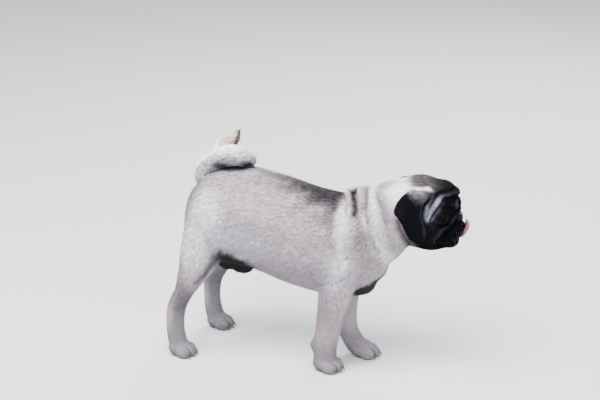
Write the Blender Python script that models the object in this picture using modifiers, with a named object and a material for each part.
"""A young pug, standing square on four feet, tail curled and tongue out.

Life size, in metres. +X runs forward to the nose, +Y to the dog's left and +Z up. The body is
blocked out from tubes and balls, blended into one skin, carved with strokes, and then parted
with thin cuts. Ears, eyes, nose, tongue, tail and claws sit in sockets of their own. Tables
are in millimetres, and one constant turns them into metres.
"""

import math

import bmesh
import bpy
import numpy as np
from mathutils import Matrix, Vector
from mathutils.bvhtree import BVHTree

MM = 0.001
GAP = 0.3  # between pieces that touch
FLOOR = (600, 300, 40)  # the block under the soles
NEAR, FAR = -1, 1  # the dog's right and left sides

# Voxel sizes, blending and triangle counts
MASS_VOXEL = 2.6
SKIN_VOXEL = 1.7
MASS_PASSES = 70
SKIN_PASSES = 7
BODY_TRIANGLES = 3500
HEAD_TRIANGLES = 3050

# Driving sizes of the head, whose own frame has +X out through the nose
HEAD_AT = (208.5, 12.5, 210.0)
HEAD_YAW = math.radians(18)
EYE_AT = (16.0, 25.5, 4.5)
EYE_RADIUS = 11.0
EYE_TURN = 36  # degrees outwards from straight ahead
LID = 1.8
EYE_OPENING = (10.2, 7.5)  # half width and half height

# Torso: x, y, height of the widest line, half width, rise to the back, drop to the belly
TORSO = (
    (-94, 0, 176, 41, 53, 50),
    (-84, 0, 182, 50, 61, 62),
    (-50, 0, 187, 56, 67, 67),
    (-15, 0, 184, 56, 69, 68),
    (25, 0, 177, 58, 68, 74),
    (65, 0, 168, 61, 66, 73),
    (100, 0, 164, 60, 65, 71),
    (126, 0, 163, 55, 60, 69),
    (143, 0, 158, 44, 49, 58),
    (150, 0, 150, 31, 34, 34),
)
NECK = (
    (112, 0, 176, 50, 52, 56),
    (150, 1, 188, 48, 56, 48),
    (182, 6, 206, 45, 50, 31),
    (206, 12, 212, 40, 44, 38),
)
# Limbs: x, y, z, half width across, to the front, to the back
HINDLEG_RIGHT = (
    (-69, -36, 178, 24, 37, 34),
    (-79, -46, 140, 21, 27, 31),
    (-91, -52, 112, 17, 18.5, 20.5),
    (-101.5, -54, 90, 13.5, 13.5, 13.5),
    (-111, -54, 70, 12.5, 13, 13.5),
    (-114.5, -53.5, 46, 11.5, 13, 13),
    (-113, -53, 26, 12, 13, 13.5),
    (-110, -53, 12, 13, 14, 13),
)
HINDLEG_LEFT = (
    (-61, 36, 178, 24, 37, 34),
    (-70, 46, 140, 21, 27, 31),
    (-81, 53, 112, 17, 18.5, 20.5),
    (-91, 56, 92, 13.5, 13.5, 13.5),
    (-101, 57, 74, 12.5, 13, 13.5),
    (-104, 57, 50, 11.5, 12, 12),
    (-102, 57, 28, 12, 12.5, 13),
    (-98, 57, 12, 13, 14, 13),
)
FORELEG_RIGHT = (
    (120, -34, 172, 22, 32, 34),
    (110, -47, 134, 20, 27, 28),
    (105, -50, 104, 18, 23, 22),
    (100, -47, 80, 15.5, 19, 19),
    (95, -44, 54, 14.5, 17, 17),
    (92, -42, 34, 14.5, 15.5, 18),
    (91, -42, 12, 15, 16, 15),
)
FORELEG_LEFT = (
    (120, 34, 172, 22, 32, 34),
    (108, 46, 134, 20, 27, 28),
    (102, 44, 104, 18, 22, 22),
    (98.5, 36, 78, 15, 16, 17),
    (100, 28, 50, 13.5, 14, 15),
    (105.5, 23.5, 31, 13.5, 13, 15),
    (116, 20, 13, 14, 15, 14),
)
# Small forms under the skin: centre and half sizes
SOFT_FORMS = (
    ((-35, 0, 114), (16, 8, 15)),  # sheath
    ((-58, 0, 121), (15, 13, 15)),  # groin
    ((79.5, -42, 33), (9, 8, 10)),  # pads of the wrists
    ((96, 24, 32), (9, 8, 10)),
)
# Paws: name, centre of the wrist or heel x, y, turn outwards in degrees, length, width
PAWS = (
    ("forepaw_right", 91, -42, -4, 40, 35),
    ("forepaw_left", 124, 19, 4, 40, 35),
    ("hindpaw_right", -109, -53, -3, 38, 32),
    ("hindpaw_left", -96, 57, 3, 38, 32),
)
TOES = (-1.5, -0.5, 0.5, 1.5)

# Head, in its own frame: centre, half sizes, and whether it is there on both sides
HEAD_MASSES = (
    ((-5, 0, 18), (37, 41, 33), False),
    ((-5, 0, -10), (36, 46, 34), False),
    ((8, 0, -26), (32, 33, 22), False),
    ((22, 0, 17), (23, 27, 29), False),
    ((30.5, 0, -16), (15.5, 24, 20), False),
    ((32.5, 0, -37), (14.5, 16, 10), False),
    ((28, 15, -20), (18, 14, 14), True),
)

# Strokes raise or sink the skin along a line: height, reach, then the points of the line
HEAD_STROKES = (
    # the folds of the forehead
    (2.8, 4.2, ((15, 34, 30), (25, 27, 33), (34, 17, 33), (41, 8, 31), (44, 0, 29))),
    (-2.6, 2.8, ((16, 34, 24), (27, 26, 26), (36, 16, 26), (42, 8, 25), (45, 0, 24))),
    (-1.8, 3.2, ((12, 35, 39), (22, 28, 42), (31, 16, 41), (37, 6, 37))),
    (2.0, 3.2, ((43, 5, 19), (45, 6, 13))),
    (2.0, 3.4, ((33, 23, 20), (38, 16, 15), (42, 11, 12))),
    (-2.4, 2.4, ((41, 0, 35), (45, 0, 23), (46, 0, 12))),
    # the roll over the nose, down to the cheek
    (3.2, 3.8, ((46, 0, 8), (44, 10, 5), (38, 18, 0), (29, 26, -7), (18, 36, -13), (9, 42, -24))),
    (-2.4, 2.4, ((46, 11, -1), (40, 20, -7), (30, 29, -15), (20, 36, -24), (13, 39, -34))),
    (-1.4, 2.2, ((34, 18, 9), (26, 30, -4), (14, 39, -8), (6, 43, -16))),
    # temple and cheek
    (2.6, 4.0, ((17, 34, 29), (8, 42, 20), (0, 45, 7), (-3, 46, -6))),
    (-2.2, 2.2, ((22, 32, 28), (14, 38, 20), (6, 42, 12), (1, 44, 0))),
    (-2.0, 2.4, ((11, 38, 34), (0, 44, 24), (-5, 46, 10), (-4, 46, -4))),
    # lips and the line of the mouth
    (-3.2, 2.2, ((47, 0, -12), (48, 0, -20), (46, 0, -27))),
    (-4.2, 2.2, ((46, 0, -28), (44, 8, -30), (37, 18, -34), (27, 27, -37), (16, 33, -37))),
    (1.8, 3.2, ((46, 6, -24), (38, 19, -28), (27, 29, -31), (17, 35, -32))),
    # the ridge of skin at the root of the ear
    (2.2, 3.6, ((-26, 27, 43), (-12, 29, 46), (3, 29, 44), (9, 33, 38))),
)
# The same for the body; the last mark tells whether the line is mirrored to the other side
BODY_STROKES = (
    # the loose skin at the withers and down the neck
    (4.6, 5.4, ((107, 0, 234), (112, -8, 232), (118, -20, 229), (121, -31, 222), (125, -42, 214)), True),
    (-4.0, 4.0, ((114, 0, 233), (119, -12, 233), (124, -23, 229), (126, -33, 222), (127, -40, 216)), True),
    (3.0, 5.6, ((126, 0, 238), (128, -12, 236), (130, -24, 231), (134, -33, 224), (136, -40, 215)), True),
    (-2.2, 4.6, ((133, 0, 240), (136, -12, 239), (139, -22, 235), (141, -35, 222), (144, -42, 210)), True),
    (2.0, 7.0, ((141, 0, 243), (145, -13, 241), (150, -29, 231), (156, -37, 221), (164, -43, 203)), True),
    (-1.6, 5.4, ((149, -6, 243), (152, -19, 240), (158, -28, 234), (165, -36, 224), (171, -40, 213)), True),
    (1.6, 6.0, ((170, -20, 244), (173, -29, 235), (176, -35, 225), (181, -39, 213)), True),
    (-2.0, 6.0, ((144, -40, 215), (155, -45, 195), (166, -43, 177), (173, -33, 160)), True),
)

# Ear, in the head's frame: height and how far out of its outer and inner skins, front and rear
EAR = (
    (36.6, 29.0, 32.8, 29.0, 0.5, -24.0),
    (38.2, 33.4, 34.4, 32.6, 1.5, -26.0),
    (38.8, 37.0, 34.9, 35.4, 2.5, -28.0),
    (37.4, 40.4, 34.0, 37.6, 2.5, -31.0),
    (33.4, 42.6, 31.6, 39.4, -0.5, -35.0),
    (28.0, 43.8, 27.5, 40.6, -5.0, -38.8),
    (21.0, 44.6, 21.0, 41.5, -7.6, -42.0),
    (13.6, 45.4, 13.6, 42.3, -8.2, -43.2),
    (8.0, 46.2, 8.0, 43.1, -7.4, -38.6),
    (0.0, 47.4, 0.0, 44.3, -5.0, -33.5),
    (-8.0, 48.2, -8.0, 45.2, -2.4, -30.0),
    (-16.0, 48.4, -16.0, 45.5, -2.8, -25.5),
    (-21.5, 47.8, -21.5, 45.0, -4.8, -21.0),
    (-25.0, 47.2, -25.0, 44.8, -8.6, -15.0),
)
EAR_TILT = 0.1
EAR_SWELL = 2.4
EAR_CREASE = 1.4

# Tail: x, y, z and radius along its curl
TAIL = (
    (-74, 0, 210, 13.0),
    (-85, 0, 224, 12.0),
    (-90, -0.5, 239, 11.2),
    (-80, -3, 253, 11.8),
    (-65.5, -5, 264, 13.6),
    (-50, -6, 269, 14.8),
    (-37, -4, 269.5, 14.0),
    (-28.5, 3, 265.5, 12.0),
    (-31, 14, 260.5, 11.0),
    (-43, 21.5, 257, 10.5),
    (-58, 24.5, 258, 10.4),
    (-69.5, 24, 264, 10.4),
    (-71.5, 22.5, 272, 9.8),
    (-65.5, 21, 279.5, 8.0),
    (-57, 19.5, 287, 5.4),
    (-49, 18, 294, 2.8),
)

# Tongue, in the head's frame: x, height, half width and half thickness
TONGUE = (
    (28, -29.0, 9.0, 2.4),
    (38, -28.8, 10.5, 2.4),
    (45, -27.4, 10.5, 2.4),
    (50, -22.8, 10.0, 2.3),
    (52.4, -17.4, 9.0, 2.1),
    (52.2, -12.0, 6.8, 1.9),
    (50.4, -8.0, 3.8, 1.5),
)
TONGUE_CUP = 5.5  # how far its sides curl back to the face
TONGUE_BEND = (-27, 7)  # height where the curl starts, and over how much it grows

# Nose pad, in the head's frame: x and size of each ring, and the left half of its outline
NOSE = ((33.0, 0.94), (39.0, 1.0), (44.0, 1.0), (46.4, 0.92), (47.6, 0.74), (48.0, 0.4))
NOSE_LINE = ((0, 6.0), (5.0, 6.4), (9.0, 4.6), (10.8, 1.0), (9.8, -2.2), (6.4, -4.4), (2.8, -6.6))
NOSE_HEIGHT = -4.4
NOSTRIL_AT = (47.5, 5.4, -3.2)
NOSTRIL_SIZE = (4.0, 2.4, 1.7)

# Claw: where it grows from the toe, length and radius
CLAW_LONG = 7.2
CLAW_RADIUS = 2.1
CLAW_HEIGHT = 7.0
CLAW_DROP = 5.0

# Thin cuts: centre, normal, and half sizes across and along
CUTS = (
    ("nape", (180, 6, 210), (0.97, 0.12, 0.2), (62, 62)),
    ("collar", (143, 0, 170), (0.904, 0, 0.427), (75, 75)),
    ("elbow_right", (98, -50.5, 127), (0, 0.784, 0.621), (43, 48)),
    ("elbow_left", (97, 50.5, 127), (0, -0.784, 0.621), (43, 48)),
    ("hip_right", (-70, -50, 149), (0, 0.8, 0.6), (46, 44)),
    ("hip_left", (-66, 52, 147), (0, -0.8, 0.6), (46, 44)),
    ("wrist_right", (92, -42, 24), (0, 0, 1), (26, 26)),
    ("wrist_left", (113, 21, 24), (0, 0, 1), (26, 26)),
    ("heel_right", (-112, -53, 24), (0, 0, 1), (24, 24)),
    ("heel_left", (-100, 57, 24), (0, 0, 1), (24, 24)),
)
# The middle of each node that the cuts leave
PLACES = (
    ("head", (221, 16, 211)),
    ("neck", (160, 8, 207)),
    ("torso", (20, 0, 180)),
    ("foreleg_right", (98, -46, 70)),
    ("foreleg_left", (100, 33, 70)),
    ("hindleg_right", (-89, -51, 96)),
    ("hindleg_left", (-80, 55, 96)),
    ("forepaw_right", (102, -43, 10)),
    ("forepaw_left", (133, 20, 10)),
    ("hindpaw_right", (-98, -54, 10)),
    ("hindpaw_left", (-86, 57, 10)),
)

FAWN = (0.56, 0.47, 0.41)
PALE = (0.66, 0.58, 0.52)
BLACK = (0.02, 0.02, 0.024)
# Node names start with these: colour and roughness
FINISHES = (
    ("head", (0.16, 0.14, 0.13), 0.8),
    ("ear", BLACK, 0.7),
    ("eye", (0.012, 0.008, 0.006), 0.06),
    ("nose", (0.015, 0.014, 0.016), 0.3),
    ("tongue", (0.75, 0.32, 0.36), 0.35),
    ("claw", (0.05, 0.045, 0.045), 0.35),
    ("tail", PALE, 0.85),
    ("fore", PALE, 0.85),
    ("hind", PALE, 0.85),
    ("", FAWN, 0.85),
)


def on_curve(rows, steps):
    """Rows of numbers joined by a smooth curve through each of them."""
    rows = np.array(rows, float)
    ends = np.vstack([2 * rows[0] - rows[1], rows, 2 * rows[-1] - rows[-2]])
    found = []
    for before, start, end, after in zip(ends, ends[1:], ends[2:], ends[3:]):
        for t in np.arange(steps) / steps:
            bend = 2 * before - 5 * start + 4 * end - after
            twist = 3 * start - before - 3 * end + after
            found.append(0.5 * (2 * start + (end - before) * t + bend * t**2 + twist * t**3))
    return np.array([*found, rows[-1]])


def object_from(name, shape):
    """A mesh object at the origin, from a bmesh in metres."""
    bmesh.ops.recalc_face_normals(shape, faces=shape.faces)
    if shape.calc_volume(signed=True) < 0:
        bmesh.ops.reverse_faces(shape, faces=shape.faces)
    mesh = bpy.data.meshes.new(name)
    shape.to_mesh(mesh)
    shape.free()
    made = bpy.data.objects.new(name, mesh)
    bpy.context.scene.collection.objects.link(made)
    return made


def lofted(name, rings, frame=Matrix.Identity(4)):
    """A closed skin over rings of points, in millimetres, in a frame that is in metres."""
    shape = bmesh.new()
    made = []
    for ring in rings:
        made.append([shape.verts.new(frame @ (Vector(point) * MM)) for point in ring])
    for ring, following in zip(made, made[1:]):
        for k in range(len(ring)):
            shape.faces.new((ring[k - 1], ring[k], following[k], following[k - 1]))
    shape.faces.new(made[0])
    shape.faces.new(made[-1])
    return object_from(name, shape)


def tube(name, rows, sides=24, steps=5, along=None, frame=Matrix.Identity(4), caps=3, blunt=0.8):
    """A tube of oval rings with round ends. A row is x, y, z, half width, rise and drop."""
    rows = on_curve(rows, steps)
    tangents = np.gradient(rows[:, :3], axis=0)
    if along is not None:
        tangents[:] = along
    tangents /= np.linalg.norm(tangents, axis=1, keepdims=True)
    rings = list(zip(rows[:, :3], tangents, rows[:, 3:]))
    first, last = rings[0], rings[-1]
    for angle in math.radians(90) * np.arange(1, caps + 1) / (caps + 0.8):
        reach, size = blunt * math.sin(angle), math.cos(angle)
        start = first[0] - first[1] * min(first[2]) * reach
        finish = last[0] + last[1] * min(last[2]) * reach
        rings.insert(0, (start, first[1], first[2] * size))
        rings.append((finish, last[1], last[2] * size))
    turns = 2 * math.pi * np.arange(sides) / sides
    loops = []
    side = np.array((0.0, 1.0, 0.0))
    for centre, tangent, (across, rise, drop) in rings:
        side = side - tangent * (tangent @ side)
        side /= np.linalg.norm(side)
        up = np.cross(tangent, side)
        lift = np.sin(turns) * np.where(np.sin(turns) > 0, rise, drop)
        loops.append(centre + np.outer(np.cos(turns) * across, side) + np.outer(lift, up))
    return lofted(name, loops, frame)


def ball(name, centre, radii, frame=Matrix.Identity(4), segments=24):
    """An ellipsoid, in millimetres, in a frame that is in metres."""
    shape = bmesh.new()
    bmesh.ops.create_uvsphere(
        shape, u_segments=segments, v_segments=segments // 2, radius=1.0
    )
    place = Matrix.Translation(Vector(centre) * MM)
    size = Matrix.Diagonal((*[r * MM for r in radii], 1.0))
    bmesh.ops.transform(shape, matrix=frame @ place @ size, verts=shape.verts)
    return object_from(name, shape)


def head_frame():
    """Places the head: +X out through the nose, +Y to its left, +Z through the crown."""
    return Matrix.Translation(Vector(HEAD_AT) * MM) @ Matrix.Rotation(HEAD_YAW, 4, "Z")


def eye_frame(side):
    """Places an eye, with +X out along its gaze."""
    place = Matrix.Translation(Vector((EYE_AT[0], side * EYE_AT[1], EYE_AT[2])) * MM)
    return head_frame() @ place @ Matrix.Rotation(math.radians(side * EYE_TURN), 4, "Z")


def paw_frame(x, y, turn):
    """Places a paw on the floor, with +X out through its toes."""
    turned = Matrix.Rotation(math.radians(turn), 4, "Z")
    return Matrix.Translation(Vector((x, y, 0)) * MM) @ turned


def toe_reach(place, length):
    """How far out a toe's centre lies; the two middle toes lead."""
    return length * (0.36 if abs(place) < 1 else 0.24)


def mass_pieces():
    """The large forms: torso, neck, skull and limbs."""
    pieces = [tube("torso_mass", TORSO, sides=32, along=(1, 0, 0), blunt=0.5)]
    pieces.append(tube("neck_mass", NECK, sides=32))
    for side in (NEAR, FAR):
        pieces.append(ball("shoulder", (114, side * 42, 172), (30, 18, 46)))
        pieces.append(ball("hip", (-66, side * 36, 180), (38, 24, 44)))
    for rows in (HINDLEG_RIGHT, HINDLEG_LEFT, FORELEG_RIGHT, FORELEG_LEFT):
        pieces.append(tube("limb", rows, sides=20))
    for centre, radii, paired in HEAD_MASSES:
        for side in (NEAR, FAR) if paired else (FAR,):
            at = (centre[0], side * centre[1], centre[2])
            pieces.append(ball("skull", at, radii, head_frame()))
    return pieces


def fine_pieces():
    """The small forms that must keep their shape: lids, toes and soft forms of the trunk and wrists."""
    pieces = [ball("form", centre, radii) for centre, radii in SOFT_FORMS]
    for side in (NEAR, FAR):
        pieces.append(ball("lids", (0, 0, 0), (EYE_RADIUS + LID,) * 3, eye_frame(side)))
    for name, x, y, turn, length, width in PAWS:
        frame = paw_frame(x, y, turn)
        pieces.append(ball(name, (0, 0, 10.5), (length * 0.42, width * 0.46, 13), frame))
        for place in TOES:
            centre = (toe_reach(place, length), place * width * 0.25, 6.8)
            radii = (length * 0.26, width * 0.16, 8.6)
            pieces.append(ball(name, centre, radii, frame))
    return pieces


def baked(made):
    """Replaces an object's mesh by the one that its modifiers make."""
    graph = bpy.context.evaluated_depsgraph_get()
    graph.update()
    mesh = bpy.data.meshes.new_from_object(made.evaluated_get(graph))
    made.modifiers.clear()
    made.data = mesh
    return made


def joined(name, pieces):
    """One object that holds the meshes of several."""
    shape = bmesh.new()
    for piece in pieces:
        shape.from_mesh(piece.data)
        bpy.data.objects.remove(piece)
    return object_from(name, shape)


def weighted(made, name, weights):
    """A vertex group with a weight for each vertex."""
    group = made.vertex_groups.new(name=name)
    for index, weight in enumerate(weights):
        group.add([index], float(weight), "REPLACE")


def places_of(made):
    """The vertices of an object, in millimetres."""
    found = np.empty(len(made.data.vertices) * 3)
    made.data.vertices.foreach_get("co", found)
    return found.reshape(-1, 3) / MM


def blended(name, pieces, voxel, passes, ease=None):
    """One closed skin from overlapping closed pieces, with its joins smoothed."""
    made = joined(name, pieces)
    remesh = made.modifiers.new("Skin", "REMESH")
    remesh.mode = "VOXEL"
    remesh.voxel_size = voxel * MM
    baked(made)
    smooth = made.modifiers.new("Blend", "SMOOTH")
    smooth.factor = 0.5
    smooth.iterations = passes
    if ease is not None:
        weighted(made, "ease", ease(places_of(made)))
        smooth.vertex_group = "ease"
    baked(made)
    made.vertex_groups.clear()
    return made


def mass_ease(points):
    """Blends the trunk most, the head less and the lower limbs least."""
    limb = np.clip((points[:, 2] - 95) / 45, 0.12, 1)
    head = np.linalg.norm(points - np.array(HEAD_AT), axis=1)
    return np.minimum(limb, np.clip((head - 42) / 30, 0.22, 1))


def carved(made, strokes):
    """Raises or sinks the skin along lines, half as much at their ends as in the middle."""
    mesh = made.data
    tree = BVHTree.FromPolygons([v.co for v in mesh.vertices], [p.vertices for p in mesh.polygons])
    normals = np.array([v.normal for v in mesh.vertices])
    points = places_of(made)
    moved = points.copy()
    for height, reach, line in strokes:
        line = on_curve(line, 8)
        line = np.array([tree.find_nearest(Vector(p) * MM)[0] for p in line]) / MM
        along = np.linspace(0, 1, len(line))
        ends = np.minimum(1, 0.5 + 3 * np.minimum(along, 1 - along))
        low, high = line.min(0) - 3 * reach, line.max(0) + 3 * reach
        box = np.flatnonzero((points > low).all(1) & (points < high).all(1))
        apart = np.linalg.norm(points[box, None] - line[None], axis=2)
        share = (ends * np.exp(-((apart / reach) ** 2))).max(1)
        moved[box] += normals[box] * height * share[:, None]
    mesh.vertices.foreach_set("co", (moved * MM).ravel())
    mesh.update()
    return made


def all_strokes():
    """Each stroke in the model's frame, in millimetres."""
    found = []
    for height, reach, line in HEAD_STROKES:
        for side in (NEAR, FAR):
            turned = [head_frame() @ (Vector((x, side * y, z)) * MM) / MM for x, y, z in line]
            if side == FAR or any(y for _, y, _ in line):
                found.append((height, reach, turned))
    for height, reach, line, paired in BODY_STROKES:
        found.append((height, reach, line))
        if paired:
            found.append((height, reach, [(x, -y, z) for x, y, z in line]))
    return found


def thinned(made, triangles, free):
    """Fewer triangles among the free vertices, kept where the surface bends most."""
    mesh = made.data
    mesh.calc_loop_triangles()
    corners = np.array([t.vertices[:] for t in mesh.loop_triangles])
    kept = (~free[corners]).any(1).sum()
    decimate = made.modifiers.new("Thin", "DECIMATE")
    decimate.ratio = (kept + triangles) / len(corners)
    decimate.use_collapse_triangulate = True
    weighted(made, "free", free)
    decimate.vertex_group = "free"
    baked(made)
    made.vertex_groups.clear()
    return made


def in_head(points):
    """Which points belong to the head's finer mesh."""
    return (points - np.array(HEAD_AT)) @ np.array((0.97, 0.12, 0.2)) > -38


def boolean(made, other, operation="DIFFERENCE", solver="EXACT"):
    """Cuts or joins one object with another, which is used up."""
    step = made.modifiers.new("Cut", "BOOLEAN")
    step.object = other
    step.operation = operation
    step.solver = solver
    baked(made)
    bpy.data.objects.remove(other)
    return made


def on_floor(made):
    """Cuts the soles flat at the floor."""
    shape = bmesh.new()
    bmesh.ops.create_cube(shape, size=1.0)
    place = Matrix.Diagonal((*[size * MM for size in FLOOR], 1))
    place.translation.z = -FLOOR[2] / 2 * MM
    bmesh.ops.transform(shape, matrix=place, verts=shape.verts)
    return boolean(made, object_from("floor", shape))


def parted(made):
    """Separate objects for each closed surface, largest first."""
    shape = bmesh.new()
    shape.from_mesh(made.data)
    shape.verts.index_update()
    left = set(shape.verts)
    islands = []
    while left:
        island = {left.pop()}
        edge = list(island)
        while edge:
            vert = edge.pop()
            for link in vert.link_edges:
                other = link.other_vert(vert)
                if other in left:
                    left.discard(other)
                    island.add(other)
                    edge.append(other)
        islands.append([v.index for v in island])
    shape.free()
    islands.sort(key=len, reverse=True)
    found = []
    for island in islands:
        keep = set(island)
        shape = bmesh.new()
        shape.from_mesh(made.data)
        gone = [v for v in shape.verts if v.index not in keep]
        bmesh.ops.delete(shape, geom=gone, context="VERTS")
        found.append(object_from(made.name, shape))
    bpy.data.objects.remove(made)
    return found


def largest(made):
    """Only the largest closed surface of an object."""
    name = made.name
    made.name = name + "_cut"
    kept, *crumbs = parted(made)
    for crumb in crumbs:
        bpy.data.objects.remove(crumb)
    kept.name = kept.data.name = name
    return kept


def slab(name, centre, normal, halves):
    """A plate one gap thick, square to a normal."""
    shape = bmesh.new()
    bmesh.ops.create_cube(shape, size=2.0)
    size = Matrix.Diagonal((halves[0] * MM, halves[1] * MM, GAP / 2 * MM, 1))
    up = Vector(normal).normalized()
    side = Vector((1, 0, 0)) if abs(up.x) < 0.5 else Vector((0, 1, 0))
    side = (side - up * side.dot(up)).normalized()
    turn = Matrix((side, up.cross(side), up)).transposed().to_4x4()
    place = Matrix.Translation(Vector(centre) * MM) @ turn @ size
    bmesh.ops.transform(shape, matrix=place, verts=shape.verts)
    return object_from(name, shape)


def ear_rings(side, grow):
    """Rings of an ear's flap, swollen outwards by so much for its socket."""
    rows = on_curve(EAR, 2)
    rows[0, (1, 3)] -= grow
    rows[-1, (0, 2)] -= grow
    across = np.linspace(-1, 1, 7)
    swell = EAR_SWELL * (1 - across**2) - EAR_CREASE * np.exp(-(((across - 0.3) / 0.2) ** 2))
    rings = []
    for row in rows:
        outer, inner, (front, rear) = row[:2], row[2:4], row[4:]
        thick = (outer - inner) / np.linalg.norm(outer - inner)
        x = (front + rear) / 2 - ((front - rear) / 2 + grow) * across
        ring = []
        for skin, lift, order in ((outer, swell + grow, 1), (inner, swell - grow, -1)):
            z = skin[0] + thick[0] * lift
            y = skin[1] + thick[1] * lift - EAR_TILT * (front - x)
            ring += list(zip(x, side * y, z))[::order]
        rings.append(ring)
    return rings


def ear(side, grow=0.0):
    return lofted("ear", ear_rings(side, grow), head_frame())


def tail(grow=0.0):
    rows = [(x, y, z, r + grow, r + grow, r + grow) for x, y, z, r in TAIL]
    return tube("tail", rows, sides=12, steps=2)


def tongue(grow=0.0):
    """The tongue, whose sides curl back towards the face where it leaves the mouth."""
    rows = [(x, 0, z, w + grow, t + grow, t + grow) for x, z, w, t in TONGUE]
    made = tube("tongue", rows, sides=16, steps=2, caps=1)
    for vert in made.data.vertices:
        bend = min(max((vert.co.z / MM - TONGUE_BEND[0]) / TONGUE_BEND[1], 0), 1)
        vert.co.x -= TONGUE_CUP * MM * bend * (vert.co.y / MM / TONGUE[3][2]) ** 2
    made.data.transform(head_frame())
    return made


def nose(grow=0.0):
    """The nose pad, broad above and narrow below."""
    outline = [*NOSE_LINE, (0, -6.6), *[(-y, z) for y, z in NOSE_LINE[:0:-1]]]
    rings = []
    for x, size in NOSE:
        ring = []
        for y, z in outline:
            out = size + grow / math.hypot(y, z)
            ring.append((x + (grow if size < 0.5 else 0), y * out, z * out + NOSE_HEIGHT))
        rings.append(ring)
    return lofted("nose", rings, head_frame())


def nostrils(made):
    """Opens the nostrils in the nose pad."""
    for side in (NEAR, FAR):
        at = (NOSTRIL_AT[0], side * NOSTRIL_AT[1], NOSTRIL_AT[2])
        boolean(made, ball("nostril", at, NOSTRIL_SIZE, head_frame(), 10))
    return made


def eye(side, grow=0.0):
    return ball("eye", (0, 0, 0), (EYE_RADIUS + grow,) * 3, eye_frame(side), 20)


def eye_opening(side):
    """The almond between the lids, widening as it comes out of the head."""
    rings = []
    for x, size in ((0, 0.8), (5, 0.92), (9, 1.0), (14, 1.25), (26, 1.8)):
        ring = []
        for k in range(20):
            turn = 2 * math.pi * k / 20
            y = EYE_OPENING[0] * math.cos(turn) * size
            z = EYE_OPENING[1] * math.sin(turn) * size * (1 - 0.12 * math.cos(turn) ** 2)
            ring.append((x, y, z))
        rings.append(ring)
    return lofted("opening", rings, eye_frame(side))


def claw(frame, x, y, turn, grow=0.0):
    """A claw that curves down from the end of a toe."""
    heading = Matrix.Rotation(math.radians(turn), 4, "Z")
    place = frame @ Matrix.Translation(Vector((x, y, 0)) * MM) @ heading
    rows = []
    for t in (0.0, 0.35, 0.7, 1.0):
        radius = CLAW_RADIUS * (1 - 0.62 * t**1.5) + grow
        x = CLAW_LONG * t - 3
        rows.append((x, 0, CLAW_HEIGHT - CLAW_DROP * t * t, radius * 0.8, radius, radius))
    return tube("claw", rows, sides=6, steps=1, frame=place, caps=1)


def claws(grow=0.0):
    """Sixteen claws, named for their paw and place."""
    found = []
    for name, x, y, turn, length, width in PAWS:
        frame = paw_frame(x, y, turn)
        for count, place in enumerate(TOES):
            reach = toe_reach(place, length) + length * 0.19
            made = claw(frame, reach, place * width * 0.26, place * 6, grow)
            made.name = f"claw_{name}_{count + 1}"
            found.append(made)
    return found


def finished(made):
    """Gives a node its flat shading and its own material."""
    for start, colour, roughness in FINISHES:
        if made.name.startswith(start):
            break
    material = bpy.data.materials.new(made.name)
    material.use_nodes = True
    shader = material.node_tree.nodes["Principled BSDF"]
    shader.inputs["Base Color"].default_value = (*colour, 1)
    shader.inputs["Roughness"].default_value = roughness
    shader.inputs["Metallic"].default_value = 0.0
    made.data.materials.clear()
    made.data.materials.append(material)
    made.data.name = made.name


def centred(nodes):
    """Moves the whole dog so that the middle of its footprint is the origin."""
    points = np.vstack([places_of(made) for made in nodes])
    low, high = points.min(0), points.max(0)
    shift = Matrix.Translation(-Vector(((low[0] + high[0]) / 2, (low[1] + high[1]) / 2, low[2])) * MM)
    for made in nodes:
        made.data.transform(shift)


def body():
    """The whole skin: blocked out, blended, carved and thinned."""
    masses = blended("masses", mass_pieces(), MASS_VOXEL, MASS_PASSES, mass_ease)
    made = blended("body", [masses, *fine_pieces()], SKIN_VOXEL, SKIN_PASSES)
    carved(made, all_strokes())
    thinned(made, BODY_TRIANGLES, ~in_head(places_of(made)))
    return on_floor(thinned(made, HEAD_TRIANGLES, in_head(places_of(made))))


def sockets(skin):
    """Cuts a socket, one gap larger, for each thing that sits in the skin."""
    cutters = [nose(GAP), tongue(GAP), tail(GAP), *claws(GAP)]
    for side in (NEAR, FAR):
        cutters += [eye(side, GAP), eye_opening(side), ear(side, GAP)]
    for cutter in cutters:
        boolean(skin, cutter)
    return largest(skin)


def named_pieces(skin):
    """Parts the skin with the thin cuts and names what is left."""
    boolean(skin, joined("cuts", [slab(*cut) for cut in CUTS]))
    pieces = parted(skin)
    for crumb in pieces[len(PLACES) :]:
        bpy.data.objects.remove(crumb)
    pieces = pieces[: len(PLACES)]
    nodes = []
    for name, place in PLACES:
        apart = [np.linalg.norm(places_of(piece).mean(0) - place) for piece in pieces]
        nodes.append(pieces.pop(int(np.argmin(apart))))
        nodes[-1].name = name
    return nodes


def paired_nodes():
    """Ears and eyes, by side."""
    nodes = []
    for side, label in ((NEAR, "right"), (FAR, "left")):
        for made, name in ((ear(side), "ear"), (eye(side), "eye")):
            made.name = f"{name}_{label}"
            nodes.append(made)
    return nodes


def collected(nodes):
    """Puts the nodes in a collection named for the dog."""
    home = bpy.data.collections.new("pug")
    bpy.context.scene.collection.children.link(home)
    for made in nodes:
        bpy.context.scene.collection.objects.unlink(made)
        home.objects.link(made)


def main():
    for old in list(bpy.data.objects):
        bpy.data.objects.remove(old)
    nodes = named_pieces(sockets(body()))
    nodes += [*paired_nodes(), nostrils(nose()), tongue(), tail(), *claws()]
    centred(nodes)
    for made in nodes:
        finished(made)
    collected(nodes)


main()
